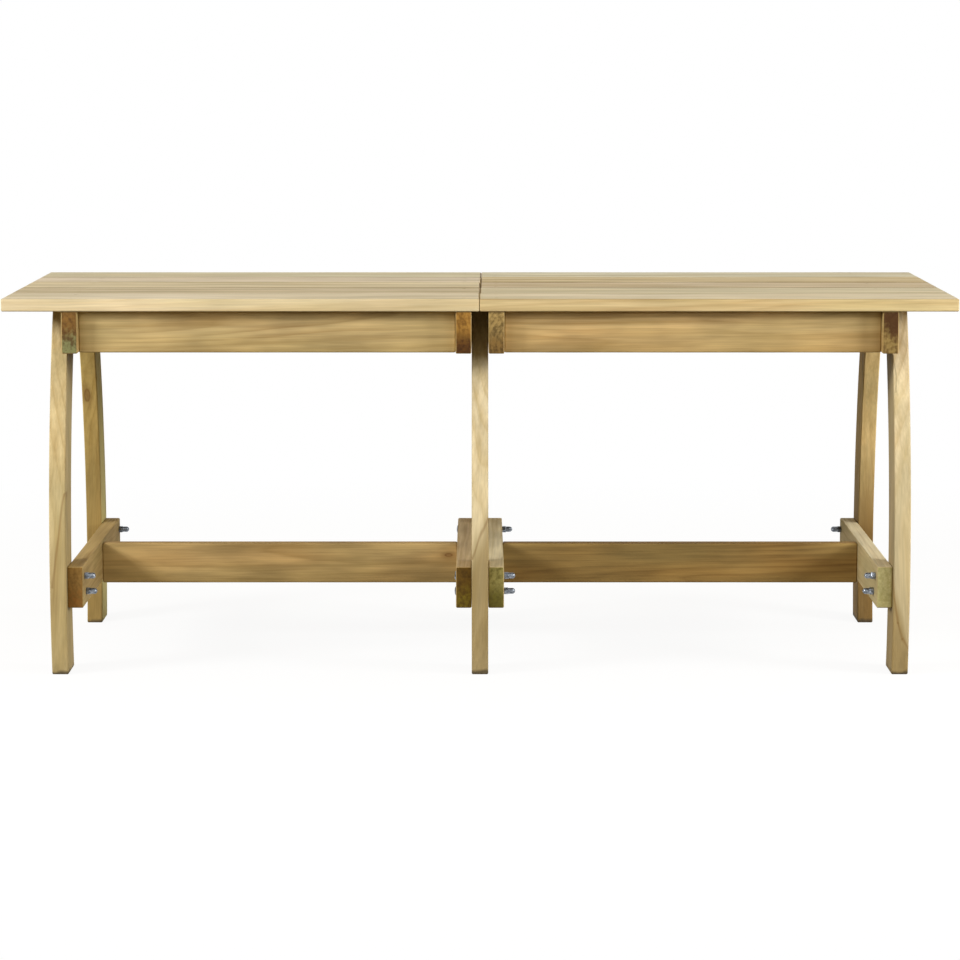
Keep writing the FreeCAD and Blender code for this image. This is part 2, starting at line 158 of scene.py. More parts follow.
# Pressure-treated pine, planed and left bare. Year rings alternate cream early wood with honey late wood,
# copper salts leave faint green streaks, fibres show as fine lines, and sawn ends are brown and rough.
# Rings and fibres are drawn about twice as coarse as in life: finer ones would not show in the picture.
def treated_pine(name, low, high, seed, pale, late, end, upper, tilt=(0.01, 0.02), ring=0.009, contrast=0.5,
                 blotch=0.78, seam_shade=0.0, end_lean=0.0, flank=(), darker_below=(), knot=(), lines=()):
    """Wood of a board that was cut from its own place in a log.

    pale and late are the colours of early and late wood, upper those of upper faces, weathered on the
    planks and painted light on the stretchers, and end those of a sawn end above, below and where it is
    torn, with end_lean for how steeply their border falls to the right, which draws the painted shadow on
    the right end batten. tilt is how far the grain leans, ring the width of a year's growth, contrast how
    strongly late wood shows, blotch the tone of the darkest clouds, seam_shade the share of painted shade
    on the upper edges along the seams, and flank the share and colour of painted light and shade on the
    side faces. darker_below holds (full up to, none from, share, colour, lean): how far up the board is
    darker towards the bottom, which on the legs is painted shade, and how steeply that rises to the right.
    knot is (centre, branch direction, radius), and lines are checks and bold rings that run through the
    board along Y, as (start, end, width, colour). Lengths are in metres.
    """
    # The second colour is the brown of the painted shade along the planks' seams.
    copper_green, seam_shade_colour, knot_brown = "#B5AC74", "#5E4826", "#7A5128"
    nearest_pith, farthest_pith, pith_aside = 0.035, 0.075, 0.04
    draw = random.Random(seed)
    size = high - low
    along = max(range(3), key=lambda axis: size[axis])
    thin = min(range(3), key=lambda axis: size[axis])
    turn = Euler((
        (0.0, tilt[0], tilt[1]),
        (tilt[0], 0.0, tilt[1] - math.pi / 2),
        (tilt[0], tilt[1] + math.pi / 2, 0.0),
    )[along])
    pith = (low + high) / 2
    pith[thin] += draw.choice((-1, 1)) * draw.uniform(nearest_pith, farthest_pith)
    pith[3 - along - thin] += draw.uniform(-pith_aside, pith_aside)
    start = Vector((draw.uniform(2.0, 9.0), 0.0, 0.0))
    material = bpy.data.materials.new("treated_pine_" + name)
    material.use_nodes = True
    tree = material.node_tree
    surface = tree.nodes["Principled BSDF"]
    place = add(tree, "ShaderNodeTexCoord", out="Object")
    log = add(tree, "ShaderNodeMapping",
              {"Vector": place, "Rotation": turn, "Location": start - turn.to_matrix() @ pith})
    grain = {}
    for pattern, length, width, detail in (
        ("sway", 0.9, 0.12, 1.0), ("wobble", 0.2, 0.03, 1.0), ("patch", 0.35, 0.07, 1.0),
        ("streak", 0.6, 0.015, 3.0), ("cloud", 0.16, 0.045, 2.0), ("fibre", 0.14, 0.0032, 2.0),
        ("sawn", 0.009, 0.009, 2.0),
    ):
        stretched = add(tree, "ShaderNodeMapping",
                        {"Vector": log, "Scale": (1 / length, 1 / width, 1 / width)})
        grain[pattern] = add(tree, "ShaderNodeTexNoise",
                             {"Vector": stretched, "Scale": 1.0, "Detail": detail})

    # Year rings about the pith, which sways along the log. They swell around a knot.
    bent = log
    for pattern, reach in (("sway", 0.04), ("wobble", 0.007)):
        lean = add(tree, "ShaderNodeVectorMath",
                   {0: grain[pattern].node.outputs["Color"], 1: (0.5, 0.5, 0.5)}, operation="SUBTRACT")
        bent = add(tree, "ShaderNodeVectorMath", {0: lean, 1: (0.0, reach, reach), 2: bent},
                   operation="MULTIPLY_ADD")
    section = add(tree, "ShaderNodeVectorMath", {0: bent, 1: (0.0, 1.0, 1.0)}, operation="MULTIPLY")
    radius = add(tree, "ShaderNodeVectorMath", {0: section}, "Value", operation="LENGTH")
    if knot:
        centre, branch, reach = knot
        squash, swell_width, swell_height = 0.45, 4 * reach, 1.6 * reach
        off = add(tree, "ShaderNodeVectorMath", {0: place, 1: centre}, operation="SUBTRACT")
        shortened = [squash if k == along else 1.0 for k in range(3)]
        drawn_out = add(tree, "ShaderNodeVectorMath", {0: off, 1: shortened}, operation="MULTIPLY")
        aside = add(tree, "ShaderNodeVectorMath", {0: drawn_out, 1: branch}, operation="CROSS_PRODUCT")
        distance = add(tree, "ShaderNodeVectorMath", {0: aside}, "Value", operation="LENGTH")
        wide = add(tree, "ShaderNodeMath", {0: distance, 1: swell_width}, operation="DIVIDE")
        swell = add(tree, "ShaderNodeValToRGB", {"Fac": wide}, stops=((0.0, 1.0), (0.3, 0.55), (1.0, 0.0)))
        radius = add(tree, "ShaderNodeMath", {0: swell, 1: swell_height, 2: radius},
                     operation="MULTIPLY_ADD")
        core = add(tree, "ShaderNodeValToRGB", {"Fac": wide},
                   stops=((0.0, 0.7), (0.12, 0.55), (0.21, 0.75), (0.27, 0.3), (0.6, 0.0)))
    rings = add(tree, "ShaderNodeMath", {0: radius, 1: ring}, operation="DIVIDE")
    year = add(tree, "ShaderNodeMath", {0: rings}, operation="FRACT")
    late_wood = add(tree, "ShaderNodeValToRGB", {"Fac": year},
                    stops=((0.0, 0.3), (0.3, 0.0), (0.75, 0.7), (0.9, 1.0), (1.0, 0.3)))
    plain_or_marked = add(tree, "ShaderNodeValToRGB", {"Fac": grain["patch"]},
                          stops=((0.3, 0.35 * contrast), (0.7, contrast)))
    late_share = add(tree, "ShaderNodeMath", {0: late_wood, 1: plain_or_marked}, operation="MULTIPLY")
    wood = add(tree, "ShaderNodeMix", {0: late_share, 6: linear(pale), 7: linear(late)}, 2,
               data_type="RGBA")
    band = add(tree, "ShaderNodeValToRGB", {"Fac": grain["streak"]}, stops=((0.45, 0.0), (0.75, 0.6)))
    wood = add(tree, "ShaderNodeMix", {0: band, 6: wood, 7: linear(late)}, 2, data_type="RGBA")
    salts = add(tree, "ShaderNodeValToRGB", {"Fac": grain["patch"]}, stops=((0.4, 0.25), (0.62, 0.0)))
    wood = add(tree, "ShaderNodeMix", {0: salts, 6: wood, 7: linear(copper_green)}, 2, data_type="RGBA")

    # Weather on upper faces and painted light on the stretchers' tops, painted shade on the edges along the
    # seams, darker towards the bottom, which on the legs is painted shade, and painted light and shade on
    # the sides.
    normal = add(tree, "ShaderNodeNewGeometry", out="Normal")
    height = add(tree, "ShaderNodeSeparateXYZ", {"Vector": normal}, "Z")
    # Upper faces: weathered on the planks, and painted light on the stretchers.
    streaky = add(tree, "ShaderNodeValToRGB", {"Fac": grain["streak"]}, stops=((0.4, 0.0), (0.68, 1.0)))
    weather_and_light = add(tree, "ShaderNodeMix", {0: streaky, 6: linear(upper[0]), 7: linear(upper[1])}, 2,
                  data_type="RGBA")
    weather_and_light = add(tree, "ShaderNodeMix", {0: late_share, 6: weather_and_light, 7: wood}, 2, data_type="RGBA")
    facing_up = add(tree, "ShaderNodeValToRGB", {"Fac": height}, stops=((0.8, 0.0), (0.98, 1.0)))
    wood = add(tree, "ShaderNodeMix", {0: facing_up, 6: wood, 7: weather_and_light}, 2, data_type="RGBA")
    # Painted shade on the rounded upper edges, darkening the seams between the planks.
    if seam_shade:
        on_edge = add(tree, "ShaderNodeValToRGB", {"Fac": height},
                      stops=((0.15, 0.0), (0.5, seam_shade), (0.9, seam_shade), (0.98, 0.0)))
        wood = add(tree, "ShaderNodeMix", {0: on_edge, 6: wood, 7: linear(seam_shade_colour)}, 2, data_type="RGBA")
    drift_reach = Vector((0.01, 0.01, 0.01))
    drift = add(tree, "ShaderNodeVectorMath",
                {0: grain["wobble"].node.outputs["Color"], 1: 2 * drift_reach, 2: place},
                operation="MULTIPLY_ADD")
    drift = add(tree, "ShaderNodeVectorMath", {0: drift, 1: drift_reach}, operation="SUBTRACT")
    middle = (low.x + high.x) / 2
    # Darker towards the bottom: on the legs this is painted shade, and on the right back leg also through
    # its middle.
    for full, none, share, colour, lean in darker_below:
        rise = add(tree, "ShaderNodeVectorMath", {0: drift, 1: (-lean, 0.0, 1.0)}, "Value",
                   operation="DOT_PRODUCT")
        darkened = add(tree, "ShaderNodeMapRange",
                      {"Value": rise, "From Min": full - lean * middle, "From Max": none - lean * middle,
                       "To Min": share, "To Max": 0.0})
        wood = add(tree, "ShaderNodeMix", {0: darkened, 6: wood, 7: linear(colour)}, 2, data_type="RGBA")
    # Painted light and shade on the side faces.
    if flank:
        share, colour = flank
        sideways = add(tree, "ShaderNodeSeparateXYZ", {"Vector": normal}, "X")
        squarely = add(tree, "ShaderNodeMath", {0: sideways}, operation="ABSOLUTE")
        on_flank = add(tree, "ShaderNodeValToRGB", {"Fac": squarely}, stops=((0.8, 0.0), (0.98, share)))
        wood = add(tree, "ShaderNodeMix", {0: on_flank, 6: wood, 7: linear(colour)}, 2, data_type="RGBA")

    # The knot's own brown, and single lines through the board.
    if knot:
        wood = add(tree, "ShaderNodeMix", {0: core, 6: wood, 7: linear(knot_brown)}, 2, data_type="RGBA")
    for first, last, width, colour in lines:
        run = Vector(last) - Vector(first)
        off = add(tree, "ShaderNodeVectorMath", {0: drift, 1: first}, operation="SUBTRACT")
        along_it = add(tree, "ShaderNodeVectorMath", {0: off, 1: run / run.length_squared}, "Value",
                       operation="DOT_PRODUCT")
        share = add(tree, "ShaderNodeClamp", {"Value": along_it})
        nearest = add(tree, "ShaderNodeVectorMath", {0: run, "Scale": share}, operation="SCALE")
        aside = add(tree, "ShaderNodeVectorMath", {0: off, 1: nearest}, operation="SUBTRACT")
        flat = add(tree, "ShaderNodeVectorMath", {0: aside, 1: (1.0, 0.0, 1.0)}, operation="MULTIPLY")
        distance = add(tree, "ShaderNodeVectorMath", {0: flat}, "Value", operation="LENGTH")
        wide = add(tree, "ShaderNodeMath", {0: distance, 1: width}, operation="DIVIDE")
        split = add(tree, "ShaderNodeValToRGB", {"Fac": wide}, stops=((0.15, 0.48), (1.0, 0.0)))
        wood = add(tree, "ShaderNodeMix", {0: split, 6: wood, 7: linear(colour)}, 2, data_type="RGBA")

    # The sawn ends, rough and torn, in two colours with an uneven border.
    facing_end = add(tree, "ShaderNodeVectorMath", {0: normal, 1: turn.to_matrix()[0]}, "Value",
                     operation="DOT_PRODUCT")
    square_on = add(tree, "ShaderNodeMath", {0: facing_end}, operation="ABSOLUTE")
    end_share = add(tree, "ShaderNodeValToRGB", {"Fac": square_on}, stops=((0.75, 0.0), (0.95, 1.0)))
    # The border between the end's colours can lean, which draws the painted shadow on the right end batten.
    level = add(tree, "ShaderNodeVectorMath", {0: place, 1: (end_lean, 0.0, 1.0)}, "Value",
                operation="DOT_PRODUCT")
    upright = add(tree, "ShaderNodeMapRange", {"Value": level, "From Min": low.z + end_lean * middle,
                                               "From Max": high.z + end_lean * middle})
    uneven = add(tree, "ShaderNodeMath", {0: grain["sawn"], 1: 0.5, 2: upright}, operation="MULTIPLY_ADD")
    above = add(tree, "ShaderNodeValToRGB", {"Fac": uneven}, stops=((0.5, 0.0), (0.85, 1.0)))
    sawn_end = add(tree, "ShaderNodeMix", {0: above, 6: linear(end[1]), 7: linear(end[0])}, 2,
                   data_type="RGBA")
    torn = add(tree, "ShaderNodeMath", {0: late_wood, 1: 0.12, 2: grain["sawn"]}, operation="MULTIPLY_ADD")
    torn = add(tree, "ShaderNodeValToRGB", {"Fac": torn}, stops=((0.45, 0.0), (0.7, 0.7)))
    sawn_end = add(tree, "ShaderNodeMix", {0: torn, 6: sawn_end, 7: linear(end[2])}, 2, data_type="RGBA")
    wood = add(tree, "ShaderNodeMix", {0: end_share, 6: wood, 7: sawn_end}, 2, data_type="RGBA")

    # Fibres and clouds darken all faces, and fibres and saw marks roughen them.
    for pattern, darkest in (("fibre", 0.86), ("cloud", blotch)):
        tone = add(tree, "ShaderNodeValToRGB", {"Fac": grain[pattern]},
                   stops=((0.33, darkest), (0.66, 1.0)))
        wood = add(tree, "ShaderNodeMix", {0: 1.0, 6: wood, 7: tone}, 2, data_type="RGBA",
                   blend_type="MULTIPLY")
    tree.links.new(wood, surface.inputs["Base Color"])
    rough = add(tree, "ShaderNodeValToRGB", {"Fac": grain["fibre"]}, stops=((0.2, 0.82), (0.8, 0.65)))
    tree.links.new(rough, surface.inputs["Roughness"])
    surface.inputs["Specular IOR Level"].default_value = 0.2
    relief = add(tree, "ShaderNodeMix", {0: end_share, 2: grain["fibre"], 3: grain["sawn"]}, 0,
                 data_type="FLOAT")
    bump = add(tree, "ShaderNodeBump", {"Height": relief, "Strength": 0.3, "Distance": 0.0008})
    tree.links.new(bump, surface.inputs["Normal"])
    return material


def lay(piece, material, node):
    """Gives a board its wood and puts it in place of the bare solid."""
    piece.data.materials.append(material)
    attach(piece, "root")
    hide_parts(node)


HIDDEN_END = ("#9A7C4C", "#8E7245", "#6E5230")
BOLD_RING, CHECK = "#8A6633", "#4A3318"
BOLD_WIDTH, CHECK_WIDTH = 0.0034, 0.0016
# A darker tone towards the bottom, painted shade and painted light for the sides, and a dark band at the
# foot.
DARKER_BELOW_TONE, PAINTED_SIDE_SHADE, PAINTED_SIDE_LIGHT = "#A58A52", "#8E7A50", "#F0E49C"
DARK_FOOT_BAND = (0.004, 0.010, 0.8, "#463F32", 0.0)
# Each leg gets darker towards its foot, and the right back leg also through its middle: painted shade. The
# sides get painted shade, and the left back leg's sides get painted light.
for label, bow_side, seed, pale, late, slant, flank, painted_lower_shade, knot, lines in (
    ("left_front", -1, 11, "#DECA9A", "#B49860", -0.04, (0.3, PAINTED_SIDE_SHADE),
     (0.235, 0.275, 0.32, DARKER_BELOW_TONE, 7.2), (),
     (((-0.8400, 0.0, 0.372), (-0.8670, 0.0, 0.178), BOLD_WIDTH, BOLD_RING),)),
    ("middle_front", -1, 13, "#ECDCB6", "#C4AC78", -0.06, (0.3, PAINTED_SIDE_SHADE),
     (0.24, 0.32, 0.65, DARKER_BELOW_TONE, 2.8), (),
     (((0.0150, 0.0, 0.330), (-0.0150, 0.0, 0.245), BOLD_WIDTH, BOLD_RING),)),
    ("right_front", -1, 15, "#E4D2AC", "#BEA270", 0.05, (0.65, PAINTED_SIDE_SHADE),
     (0.1, 0.15, 0.7, DARKER_BELOW_TONE, -4.5), (),
     (((0.8430, 0.0, 0.570), (0.8435, 0.0, 0.645), CHECK_WIDTH, CHECK),
      ((0.8385, 0.0, 0.200), (0.8485, 0.0, 0.112), BOLD_WIDTH, BOLD_RING),
      ((0.8485, 0.0, 0.112), (0.8580, 0.0, 0.078), BOLD_WIDTH, BOLD_RING),
      ((0.8580, 0.0, 0.078), (0.8715, 0.0, 0.050), BOLD_WIDTH, BOLD_RING))),
    ("left_back", 1, 12, "#DABC72", "#AC8A44", -0.05, (0.9, PAINTED_SIDE_LIGHT),
     (0.15, 0.6, 0.95, DARKER_BELOW_TONE, 0.0), ((-0.861, 0.27, 0.511), (0.0, 1.0, 0.0), 0.007), ()),
    ("middle_back", 1, 14, "#C4A66C", "#9C7A40", -0.06, (0.4, PAINTED_SIDE_SHADE),
     (0.2, 0.4, 0.4, DARKER_BELOW_TONE, 0.0), (), ()),
    ("right_back", 1, 16, "#F2D496", "#C8A05E", 0.05, (),
     (0.2, 0.4, 0.9, "#7E6030", 0.0), (), ()),
):
    name = label + "_leg"
    low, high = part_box(name)
    wood = treated_pine(name, low, high, seed, pale, late, HIDDEN_END, (pale, late), tilt=(0.01, slant),
                        ring=0.013, contrast=0.6, flank=flank, darker_below=(painted_lower_shade, DARK_FOOT_BAND), knot=knot,
                        lines=lines)
    lay(timber(name + "_timber", low, high, bow_side), wood, name)

# Battens and stretchers: 32 mm boards on edge, bolted flat against the legs under the top and near the
# floor. Their sawn ends face the viewer. Each comes from another log, so brown, orange, olive and straw
# ends mix. The right end batten's end is dark above a leaning border, which is a painted shadow, and the
# stretchers' top faces are painted light.
HIDDEN_TOP = ("#C0AA86", "#AA9268")
for label, kind, seed, pale, late, end, end_lean, upper in (
    ("left_end", "batten", 21, "#C8AA70", "#A07E48", ("#84602E", "#88885A", "#50361A"), 0.0, HIDDEN_TOP),
    ("left_middle", "batten", 22, "#C8AA70", "#A07E48", ("#B4863C", "#482A0A", "#6A4416"), 0.0, HIDDEN_TOP),
    ("right_middle", "batten", 23, "#C8AA70", "#A07E48", ("#B4985E", "#8A6C3A", "#483414"), 0.0,
     HIDDEN_TOP),
    # The right end batten's dark upper end, with its leaning border, is a painted shadow.
    ("right_end", "batten", 24, "#C2A46C", "#9A7A44", ("#4E3010", "#927A46", "#563A1A"), 0.88, HIDDEN_TOP),
    # The stretchers' top colours, in the last place, are painted light, lighter than their own wood.
    ("left_end", "stretcher", 25, "#C0A46C", "#9C7E4A", ("#9C783E", "#92662E", "#7E5E2C"), 0.0,
     ("#C2A66E", "#A88A54")),
    ("left_middle", "stretcher", 26, "#BEA06C", "#9A7A48", ("#74561C", "#847022", "#543C12"), 0.0,
     ("#D2BA90", "#B09468")),
    ("right_middle", "stretcher", 27, "#CAB484", "#A68E5C", ("#A69C5C", "#787030", "#645A26"), 0.0,
     ("#E8DAB4", "#D2C094")),
    ("right_end", "stretcher", 28, "#CEBA8C", "#AC9662", ("#D0C890", "#C8C088", "#B0A66A"), 0.0,
     ("#F0E4C2", "#E2D0A8")),
):
    name = f"{label}_{kind}"
    low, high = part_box(name)
    wood = treated_pine(name, low, high, seed, pale, late, end, upper, end_lean=end_lean)
    lay(timber(name + "_timber", low, high), wood, name)

# Aprons and rails: the same stock, lengthwise between the cross boards and screwed through them into end
# grain. They are tan with broad streaks, and the right-hand rail is the darkest board of all.
for name, seed, pale, late, knot in (
    ("left_front_apron", 231, "#E2C68E", "#A6844C", ()),
    ("right_front_apron", 532, "#DCBC84", "#AA864E", ()),
    ("left_back_apron", 33, "#C8AA74", "#A07E48", ()),
    ("right_back_apron", 34, "#C8AA74", "#A07E48", ()),
    ("left_rail", 235, "#DAB67A", "#9C7A44", ((-0.067, 0.0, 0.192), (0.0, 1.0, 0.0), 0.004)),
    ("right_rail", 36, "#AA864A", "#704E20", ()),
):
    low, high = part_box(name)
    # Darker towards the lower edge.
    darker_towards_bottom = (low.z, (low.z + high.z) / 2, 0.4, DARKER_BELOW_TONE, 0.0)
    wood = treated_pine(name, low, high, seed, pale, late, HIDDEN_END, (pale, late), contrast=0.65,
                        blotch=0.68, darker_below=(darker_towards_bottom,), knot=knot)
    lay(timber(name + "_timber", low, high), wood, name)

# Top planks: 26 mm boards, five to each half counted from the front, laid side by side with drain slots.
# Sun and rain have bleached the upper faces to beige, pinkish and greenish, and painted shade darkens some
# edges along the seams.
# The two halves butt together unevenly, and round sinkings take the screw heads.
SCREW_ROWS = (-0.045, 0.045)
SCREW_LINES = (0.033, 0.8225)
SINKING_RADIUS, SINKING_DEPTH = 0.0044, 0.0016
# The third value of each look is the share of painted shade on the plank's upper edges.
for number, meeting, opening, left_look, right_look in (
    (1, -0.0012, 0.0006, ("#DED4C0", "#B2A88C", 0.25, 551), ("#DED4C0", "#BEB494", 0.4, 46)),
    (2, 0.0002, 0.0012, ("#D0C2AA", "#948864", 0.6, 42), ("#D6CEB8", "#B0A888", 0.6, 47)),
    (3, 0.0009, 0.0012, ("#DCD0B4", "#A69874", 0.95, 43), ("#D2C4AE", "#A08C62", 0.95, 48)),
    (4, 0.0017, 0.0010, ("#E0D4C4", "#B2A88E", 0.3, 44), ("#D6C8A8", "#A49066", 0.95, 49)),
    (5, 0.0026, 0.0004, ("#DAD6BE", "#BCB298", 0.95, 45), ("#DEDCCA", "#B4AC92", 0.3, 50)),
):
    for half, side, look, pale, late in (
        ("left", -1, left_look, "#EEDCB6", "#D6BA88"), ("right", 1, right_look, "#E0CA9A", "#BE9E68"),
    ):
        upper_pale, upper_late, seam_shade_share, seed = look
        name = f"{half}_plank_{number}"
        low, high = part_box(name)
        wood = treated_pine(name, low, high, seed, pale, late, HIDDEN_END, (upper_pale, upper_late),
                            contrast=0.4, blotch=0.87, seam_shade=seam_shade_share)
        middle = (low.y + high.y) / 2
        drill = bmesh.new()
        for along in SCREW_LINES:
            for row in SCREW_ROWS:
                spot = Matrix.Translation((side * along, middle + row, high.z))
                bmesh.ops.create_cone(drill, cap_ends=True, segments=16, radius1=SINKING_RADIUS,
                                      radius2=SINKING_RADIUS, depth=2 * SINKING_DEPTH, matrix=spot)
        bits = bpy.data.meshes.new("sinkings")
        drill.to_mesh(bits)
        drill.free()
        sinkings = bpy.data.objects.new("sinkings", bits)
        bpy.context.scene.collection.objects.link(sinkings)
        if side < 0:
            high.x = meeting - opening / 2
        else:
            low.x = meeting + opening / 2
        lay(timber(name + "_timber", low, high, sinkings=sinkings), wood, name)
        bpy.data.objects.remove(sinkings)

# Carriage bolts: 8 mm steel with a mushroom head and a square neck, pushed through from the outer side or,
# in the middle frame, from the left. Electroplated zinc gives a grey, slightly blue and cloudy surface.
# Tightening has drawn the heads 1 mm into the soft wood, so the necks don't show and aren't drawn.
zinc = bpy.data.materials.new("zinc_plated_steel")
zinc.use_nodes = True
tree = zinc.node_tree
surface = tree.nodes["Principled BSDF"]
surface.inputs["Metallic"].default_value = 1.0
place = add(tree, "ShaderNodeTexCoord", out="Object")
CLOUD_SIZE = 0.004
cloud = add(tree, "ShaderNodeTexNoise", {"Vector": place, "Scale": 1 / CLOUD_SIZE, "Detail": 2.0})
tree.links.new(add(tree, "ShaderNodeValToRGB", {"Fac": cloud}, stops=((0.3, "#52585F"), (0.7, "#989DA4"))),
               surface.inputs["Base Color"])
tree.links.new(add(tree, "ShaderNodeValToRGB", {"Fac": cloud}, stops=((0.3, 0.36), (0.7, 0.22))),
               surface.inputs["Roughness"])


def new_tree(name, **sizes):
    """A Geometry Nodes tree on points, with named inputs. Gives back the tree and its inputs' sockets."""
    tree = bpy.data.node_groups.new(name, "GeometryNodeTree")
    tree.interface.new_socket("Geometry", in_out="INPUT", socket_type="NodeSocketGeometry")
    for label, kind in sizes.items():
        tree.interface.new_socket(label.replace("_", " "), in_out="INPUT", socket_type="NodeSocket" + kind)
    tree.interface.new_socket("Geometry", in_out="OUTPUT", socket_type="NodeSocketGeometry")
    return tree, tree.nodes.new("NodeGroupInput").outputs


def turned(tree, sides, rings, inside=False):
    """A wall turned about Z through rings of (radius, level), from the lowest up.

    A radius or level given as (size, share, more) is a share of that size and a length more. Inside faces
    point inwards.
    """
    walls = tree.nodes.new("GeometryNodeJoinGeometry")
    worked_out = []
    for ring in rings:
        worked_out.append([
            add(tree, "ShaderNodeMath", dict(enumerate(size)), operation="MULTIPLY_ADD")
            if isinstance(size, tuple) else size for size in ring
        ])
    for (low_radius, low), (high_radius, high) in zip(worked_out, worked_out[1:]):
        depth = add(tree, "ShaderNodeMath", {0: high, 1: low}, operation="SUBTRACT")
        wall = add(tree, "GeometryNodeMeshCone",
                   {"Vertices": sides, "Radius Bottom": low_radius, "Radius Top": high_radius,
                    "Depth": depth}, fill_type="NONE")
        lift = add(tree, "ShaderNodeCombineXYZ", {"Z": low})
        moved = add(tree, "GeometryNodeTransform", {"Geometry": wall, "Translation": lift})
        tree.links.new(moved, walls.inputs[0])
    shell = add(tree, "GeometryNodeMergeByDistance", {"Geometry": walls.outputs[0], "Distance": 0.000005})
    return add(tree, "GeometryNodeFlipFaces", {"Mesh": shell}) if inside else shell


def set_on_points(tree, sockets, shells, seed):
    """Joins the shells, sets them on every point with a turn of their own, and makes them real."""
    whole = tree.nodes.new("GeometryNodeJoinGeometry")
    for shell in shells:
        tree.links.new(shell, whole.inputs[0])
    copies = add(tree, "GeometryNodeInstanceOnPoints",
                 {"Points": sockets["Geometry"], "Instance": whole.outputs[0], "Rotation": sockets["Axis"]})
    twist = add(tree, "FunctionNodeRandomValue", {2: 0.0, 3: math.pi, "Seed": seed}, 1, data_type="FLOAT")
    spin = add(tree, "ShaderNodeCombineXYZ", {"Z": twist})
    copies = add(tree, "GeometryNodeRotateInstances",
                 {"Instances": copies, "Rotation": spin, "Local Space": True})
    real = add(tree, "GeometryNodeRealizeInstances", {"Geometry": copies})
    dressed = add(tree, "GeometryNodeSetMaterial", {"Geometry": real, "Material": sockets["Material"]})
    tree.links.new(dressed, tree.nodes.new("NodeGroupOutput").inputs[0])


def repeat(name, tree, points, **sizes):
    """Runs a tree on points and keeps the result as a plain mesh."""
    mesh = bpy.data.meshes.new(name)
    mesh.from_pydata(points, [], [])
    piece = bpy.data.objects.new(name, mesh)
    bpy.context.scene.collection.objects.link(piece)
    modifier = piece.modifiers.new("repeat", "NODES")
    modifier.node_group = tree
    for item in tree.interface.items_tree:
        if item.in_out == "INPUT" and item.name != "Geometry":
            modifier[item.identifier] = sizes[item.name.replace(" ", "_")]
    settle(piece)
    return piece


ROUND = 24
# A flat face that ends a wall is drawn as a cone of this height.
HAIR = 0.00001
ALONG_X, AGAINST_X = (0.0, math.pi / 2, 0.0), (0.0, -math.pi / 2, 0.0)
QUARTER_TURN = [math.radians(15 * step) for step in range(6)]
BOLT_LINES = [(side * across, level) for side in (-1, 1)
              for across, level in ((0.2043, 0.7015), (0.3179, 0.2000), (0.2927, 0.1640))]
bolt_tree, sockets = new_tree("carriage_bolts", Axis="Rotation", Head_radius="Float", Head_height="Float",
                              Shank_radius="Float", Length="Float", Material="Material")
head_radius, head_height = sockets["Head radius"], sockets["Head height"]
shank_radius, length = sockets["Shank radius"], sockets["Length"]
dome = [((head_radius, math.cos(turn), 0.0), (head_height, math.sin(turn), 0.0)) for turn in QUARTER_TURN]
head = turned(bolt_tree, ROUND, dome + [(0.0, head_height)])
shank = turned(bolt_tree, ROUND, [
    (0.0, (length, -1.0, 0.0)), (shank_radius, (length, -0.999, 0.0)), (shank_radius, 0.0),
    (head_radius, HAIR),
])
set_on_points(bolt_tree, sockets, (head, shank), seed=1)
for label, seat, axis, bolt_length in (
    ("left", -0.8715, AGAINST_X, 0.079), ("middle", -0.048, AGAINST_X, 0.111),
    ("right", 0.8715, ALONG_X, 0.079),
):
    bolts = repeat(label + "_bolts", bolt_tree, [(seat, *line) for line in BOLT_LINES], Axis=axis,
                   Head_radius=0.010, Head_height=0.004, Shank_radius=0.004, Length=bolt_length,
                   Material=zinc)
    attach(bolts, "root")
    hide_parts(label + "_frame_bolts")

# Cap nuts: pressed zinc-plated steel, a bevelled hexagon 13 mm across flats with a round cap over the
# bolt's end. They are screwed up tight against the boards on the other side, each turned its own way.
nut_tree, sockets = new_tree("cap_nuts", Axis="Rotation", Corner_radius="Float", Hexagon_height="Float",
                             Cap_radius="Float", Length="Float", Material="Material")
corner, hexagon = sockets["Corner radius"], sockets["Hexagon height"]
cap_radius, length = sockets["Cap radius"], sockets["Length"]
prism = turned(nut_tree, 6, [
    (0.0, 0.0), ((corner, 0.93, 0.0), HAIR), (corner, 0.0006), (corner, (hexagon, 1.0, -0.0012)),
    ((corner, 0.86, 0.0), hexagon), (0.0, (hexagon, 1.0, HAIR)),
])
cap_start = add(nut_tree, "ShaderNodeMath", {0: length, 1: cap_radius}, operation="SUBTRACT")
crown = [((cap_radius, math.cos(turn), 0.0), (cap_radius, math.sin(turn), cap_start))
         for turn in QUARTER_TURN]
cap = turned(nut_tree, ROUND, [(0.0, 0.001), (cap_radius, 0.0011), *crown, (0.0, length)])
set_on_points(nut_tree, sockets, (prism, cap), seed=2)
for label, seat, axis in (
    ("left", -0.8065, ALONG_X), ("middle", 0.049, ALONG_X), ("right", 0.8065, AGAINST_X),
):
    nuts = repeat(label + "_nuts", nut_tree, [(seat, *line) for line in BOLT_LINES], Axis=axis,
                  Corner_radius=0.0075, Hexagon_height=0.009, Cap_radius=0.0061, Length=0.023,
                  Material=zinc)
    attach(nuts, "root")
    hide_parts(label + "_frame_cap_nuts")

